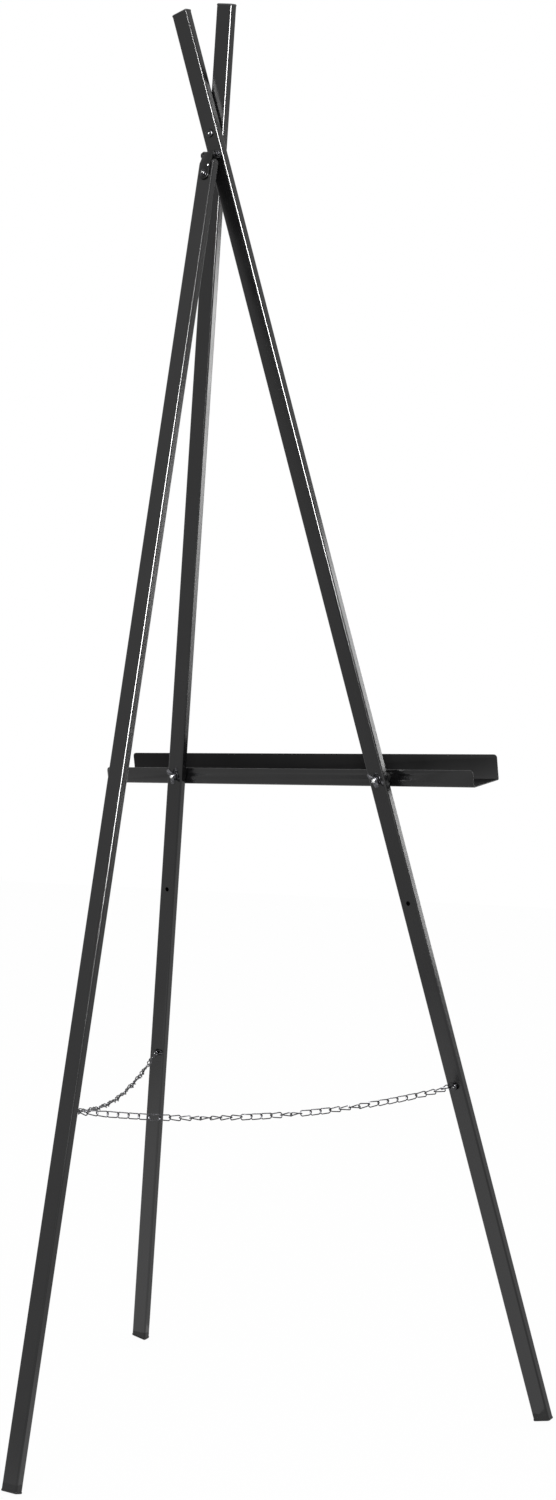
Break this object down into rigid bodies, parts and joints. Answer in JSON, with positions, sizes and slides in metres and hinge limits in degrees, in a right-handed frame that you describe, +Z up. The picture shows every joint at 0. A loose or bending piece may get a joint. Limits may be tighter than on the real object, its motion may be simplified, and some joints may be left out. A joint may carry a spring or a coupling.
{
  "type": "display easel",
  "caption": "Folding display easel with crossed tube front legs, a hinged rear prop leg, a channel tray held by wing nuts and slack chain stays.",
  "frame": {"origin": "middle of the footprint's bounding box, on the floor, with the easel open", "axes": "+Z up, the tray faces -Y, the prop leg stands towards +Y, +X is to the right of someone facing the tray from behind it"},
  "size_m": [0.6254, 0.5832, 1.5911],
  "materials": {
    "tube_coating": "semi-gloss black powder coat on steel tube",
    "tray_coating": "semi-gloss black powder coat on bent sheet steel",
    "hinge_coating": "black zinc plate, satin",
    "end_plug_plastic": "moulded black polyethylene, satin",
    "fastener_steel": "black zinc plated",
    "wing_nut_metal": "black nickel plated casting",
    "chain_metal": "black nickel plated wire"
  },
  "bodies": {
    "left_frame": {"front_leg_left": "tube_coating", "foot_plug_left": "end_plug_plastic", "top_plug_left": "end_plug_plastic", "pivot_bolt": "fastener_steel", "pivot_washer": "fastener_steel", "pivot_nut": "fastener_steel", "hinge_bracket": "hinge_coating", "hinge_pin": "fastener_steel", "hinge_nut": "fastener_steel", "tray_bolt_left": "fastener_steel", "tray_spacer": "end_plug_plastic", "tray_washer_left": "fastener_steel", "chain_screw_left": "fastener_steel"},
    "right_leg": {"front_leg_right": "tube_coating", "foot_plug_right": "end_plug_plastic", "top_plug_right": "end_plug_plastic", "tray_stud_right": "fastener_steel", "tray_washer_right": "fastener_steel", "chain_screw_right": "fastener_steel"},
    "prop_leg": {"rear_leg": "tube_coating", "foot_plug_rear": "end_plug_plastic", "top_plug_rear": "end_plug_plastic", "hinge_strap": "hinge_coating", "strap_washer": "fastener_steel", "strap_screw": "fastener_steel", "chain_eye": "fastener_steel", "chain_left": "chain_metal", "chain_right": "chain_metal"},
    "tray": {"tray": "tray_coating", "tray_bolt_right": "fastener_steel"},
    "wing_nut_left": {"wing_nut_left": "wing_nut_metal"},
    "wing_nut_right": {"wing_nut_right": "wing_nut_metal"}
  },
  "joints": [
    {"name": "prop_fold", "type": "hinge", "parent": "left_frame", "child": "prop_leg", "pos_m": [-0.00218, -0.03625, 1.42685], "axis": [-1, 0, 0], "range_deg": [0, 21.8], "deforming": ["chain_left", "chain_right"]},
    {"name": "front_fold", "type": "hinge", "parent": "left_frame", "child": "right_leg", "pos_m": [-0.00018, -0.04776, 1.453], "axis": [0, 0.9874, -0.1582], "range_deg": [0, 21.5], "deforming": ["chain_right"]},
    {"name": "tray_swing", "type": "hinge", "parent": "left_frame", "child": "tray", "pos_m": [-0.15064, -0.17452, 0.73229], "axis": [0, 0.9874, -0.1582], "range_deg": [-78.38, 0]},
    {"name": "wing_nut_left_spin", "type": "hinge", "parent": "left_frame", "child": "wing_nut_left", "pos_m": [-0.15064, -0.15233, 0.72873], "axis": [0, 0.9874, -0.1582], "continuous": true},
    {"name": "wing_nut_right_spin", "type": "hinge", "parent": "right_leg", "child": "wing_nut_right", "pos_m": [0.15028, -0.16307, 0.73045], "axis": [0, 0.9874, -0.1582], "continuous": true}
  ],
  "couplings": [
    {"joint": "tray_swing", "follows": "front_fold", "ratio": -3.6447}
  ]
}
